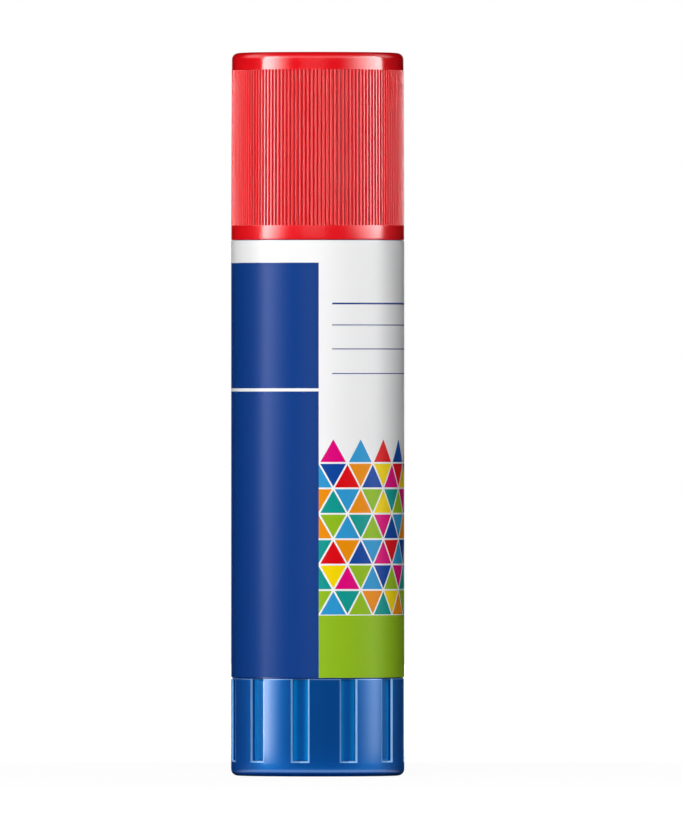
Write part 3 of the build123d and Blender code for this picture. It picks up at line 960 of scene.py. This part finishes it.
def floor_paper():
    """The floor: its grey takes the stick's shadow, and the glow over it brings it up to white."""
    material = new_material("floor_paper")
    tree = material.node_tree
    shader = tree.nodes["Principled BSDF"]
    shader.inputs["Base Color"].default_value = FLOOR_GREY
    shader.inputs["Roughness"].default_value = FLOOR_DULLNESS
    shader.inputs["Specular IOR Level"].default_value = 0.0
    rays = tree.nodes.new("ShaderNodeLightPath").outputs
    axes = object_axes(tree)
    away = off_axis(tree, axes)

    # What the camera sees: part glow near the stick, and nothing but glow far from it
    seen = maths(tree, "MAXIMUM", rays["Is Camera Ray"], rays["Is Transmission Ray"])
    far = soft_step(tree, away, *FLOOR_FAR)
    share = maths(tree, "MULTIPLY_ADD", far, 1.0 - FLOOR_GLOW, FLOOR_GLOW)
    glow = add_node(tree, "ShaderNodeEmission", Color=PLAIN_WHITE, Strength=FLOOR_GLOW_LEVEL)
    surface = add_node(
        tree,
        "ShaderNodeMixShader",
        _0=maths(tree, "MULTIPLY", seen, share),
        _1=shader.outputs[0],
        _2=glow.outputs[0],
    )

    # What gloss sees: the crescent alone
    near = soft_step(tree, away, *CRESCENT_INNER)
    near = maths(tree, "SUBTRACT", near, soft_step(tree, away, *CRESCENT_OUTER))
    near = maths(tree, "MULTIPLY", near, soft_step(tree, axes["Y"], *CRESCENT_FRONT))
    strength = maths(tree, "MULTIPLY", near, CRESCENT_LEVEL)
    crescent = add_node(tree, "ShaderNodeEmission", Color=PLAIN_WHITE, Strength=strength)
    surface = add_node(
        tree,
        "ShaderNodeMixShader",
        _0=rays["Is Glossy Ray"],
        _1=surface.outputs[0],
        _2=crescent.outputs[0],
    )
    tree.links.new(surface.outputs[0], tree.nodes["Material Output"].inputs["Surface"])
    return material


bpy.ops.object.select_all(action="DESELECT")
bpy.ops.mesh.primitive_plane_add(size=FLOOR_SIZE, location=(0, 0, -FLOOR_DROP))
floor = bpy.context.object
floor.name = "studio_floor"
floor.data.materials.append(floor_paper())

# The room's bands are given by how far a direction points up, or away from the camera
HORIZON_LEVEL = 0.15
CEILING_LEVEL = 0.22
CEILING_RISE = (0.1, 0.6)
RING_LEVEL = 2.3
RING_LOW = (0.12, 0.4)
RING_HIGH = (0.5, 0.9)
RING_BACK = (0.65, 0.25)
BACKDROP_EDGE = (0.97, 0.99)


def studio_world():
    """The room: white to the camera, dim to dull surfaces, and dark but for its lights to gloss."""
    world = bpy.data.worlds.new("studio")
    world.use_nodes = True
    tree = world.node_tree
    background = tree.nodes["Background"]
    background.inputs["Color"].default_value = PLAIN_WHITE
    rays = tree.nodes.new("ShaderNodeLightPath").outputs
    direction = tree.nodes.new("ShaderNodeTexCoord").outputs["Generated"]
    axes = add_node(tree, "ShaderNodeSeparateXYZ", Vector=direction).outputs
    ceiling = soft_step(tree, axes["Z"], *CEILING_RISE)
    room = maths(tree, "MULTIPLY_ADD", ceiling, CEILING_LEVEL - HORIZON_LEVEL, HORIZON_LEVEL)
    ring = soft_step(tree, axes["Z"], *RING_LOW)
    ring = maths(tree, "SUBTRACT", ring, soft_step(tree, axes["Z"], *RING_HIGH))
    ring = maths(tree, "MULTIPLY", ring, soft_step(tree, axes["Y"], *RING_BACK))
    backdrop = soft_step(tree, axes["Y"], *BACKDROP_EDGE)
    gloss = maths(tree, "MULTIPLY_ADD", ring, RING_LEVEL, backdrop)
    gloss = maths(tree, "MULTIPLY", gloss, rays["Is Glossy Ray"])
    not_gloss = maths(tree, "SUBTRACT", 1.0, rays["Is Glossy Ray"])
    level = maths(tree, "MULTIPLY_ADD", room, not_gloss, gloss)
    seen = maths(tree, "MAXIMUM", rays["Is Camera Ray"], rays["Is Transmission Ray"])
    unseen = maths(tree, "SUBTRACT", 1.0, seen)
    level = maths(tree, "MULTIPLY_ADD", level, unseen, seen)
    tree.links.new(level, background.inputs["Strength"])
    return world


bpy.context.scene.world = studio_world()

# The three plain lamps light the colours and don't show in the gloss, and the two strips show in the
# gloss alone. A lamp's face looks plain white at four watts a square metre.
WHITE_WATTS = 4.0
LAMP_DISTANCE = 0.9
LAMP_HEIGHT = 0.5
STRIP_DISTANCE = 0.25
STRIP_HEIGHT = 0.4
STRIP_FOOT = (0.35, 0.65)
STRIP_FADE = (0.0, 0.85)
STRIP_FALL = 1.5


def softbox(name, azimuth, elevation, width, brightness, distance=LAMP_DISTANCE, height=LAMP_HEIGHT):
    """A soft lamp that looks at the middle of the stick; a brightness of 1 is plain white."""
    lamp = bpy.data.lights.new(name, "AREA")
    lamp.shape = "RECTANGLE"
    lamp.size = width
    lamp.size_y = height
    lamp.energy = brightness * WHITE_WATTS * width * height
    lamp_object = bpy.data.objects.new(name, lamp)
    bpy.context.scene.collection.objects.link(lamp_object)
    turn = math.radians(azimuth)
    rise = math.radians(elevation)
    away = Vector(
        (math.sin(turn) * math.cos(rise), -math.cos(turn) * math.cos(rise), math.sin(rise))
    )
    lamp_object.location = Vector((0, 0, cad_high.z / 2)) + away * distance
    lamp_object.rotation_euler = away.to_track_quat("Z", "Y").to_euler()
    return lamp_object


def strip(name, azimuth, width, brightness, bright_side, edge, foot_edge, foot_share, foot_narrowing):
    """A tall softbox that fades away from its bright side, 0 or 1. The edge there is soft over a share
    of the width, and at its foot the strip can be softer at that edge, dimmer and narrower."""
    lamp_object = softbox(name, azimuth, 0, width, brightness, STRIP_DISTANCE, STRIP_HEIGHT)
    lamp_object.visible_diffuse = False
    lamp = lamp_object.data
    lamp.use_nodes = True
    tree = lamp.node_tree
    place = tree.nodes.new("ShaderNodeNewGeometry").outputs["Parametric"]
    axes = add_node(tree, "ShaderNodeSeparateXYZ", Vector=place).outputs
    across = axes["X"] if bright_side else maths(tree, "SUBTRACT", 1.0, axes["X"])
    rising = soft_step(tree, axes["Y"], *STRIP_FOOT)
    inwards = maths(tree, "MULTIPLY_ADD", rising, foot_narrowing, -foot_narrowing)
    fading = soft_step(tree, maths(tree, "ADD", across, inwards), *STRIP_FADE)
    fading = maths(tree, "POWER", fading, STRIP_FALL)
    border = maths(tree, "MULTIPLY_ADD", rising, edge - foot_edge, foot_edge)
    border = maths(tree, "DIVIDE", maths(tree, "SUBTRACT", 1.0, across), border)
    fading = maths(tree, "MULTIPLY", fading, soft_step(tree, border, 0.0, 1.0))
    rising = maths(tree, "MULTIPLY_ADD", rising, 1.0 - foot_share, foot_share)
    tree.links.new(maths(tree, "MULTIPLY", fading, rising), tree.nodes["Emission"].inputs["Strength"])


for lamp_object in (
    softbox("key", azimuth=-6, elevation=8, width=0.5, brightness=6.9),
    softbox("left_fill", azimuth=-75, elevation=8, width=0.4, brightness=2.4),
    softbox("back_fill", azimuth=172, elevation=12, width=0.6, brightness=2.6),
):
    lamp_object.visible_glossy = False
strip(
    "left_strip",
    azimuth=-53.4,
    width=0.227,
    brightness=13.2,
    bright_side=0,
    edge=0.015,
    foot_edge=0.015,
    foot_share=1.0,
    foot_narrowing=0.27,
)
strip(
    "right_strip",
    azimuth=60.5,
    width=0.37,
    brightness=11.4,
    bright_side=1,
    edge=0.094,
    foot_edge=0.4,
    foot_share=0.76,
    foot_narrowing=0.27,
)

# Camera: level with the stick and far away, as the photograph is taken with a long lens. The stick
# stands a little to the left of the middle of the frame.
LENS = 1200.0
SENSOR = 36.0
FRAME_HEIGHT = 137.3 * MM
CAMERA_SIDE = 3.9 * MM
CAMERA_RISE = 61.2 * MM
CAMERA_NEAR = 0.1
CAMERA_FAR = 20.0
camera_data = bpy.data.cameras.new("camera")
camera_data.lens = LENS
camera_data.sensor_width = SENSOR
camera_data.clip_start = CAMERA_NEAR
camera_data.clip_end = CAMERA_FAR
camera = bpy.data.objects.new("camera", camera_data)
bpy.context.scene.collection.objects.link(camera)
camera.location = (CAMERA_SIDE, -FRAME_HEIGHT * LENS / SENSOR, CAMERA_RISE)
camera.rotation_euler = (math.pi / 2, 0, 0)
bpy.context.scene.camera = camera
bpy.context.scene.view_settings.view_transform = "Standard"
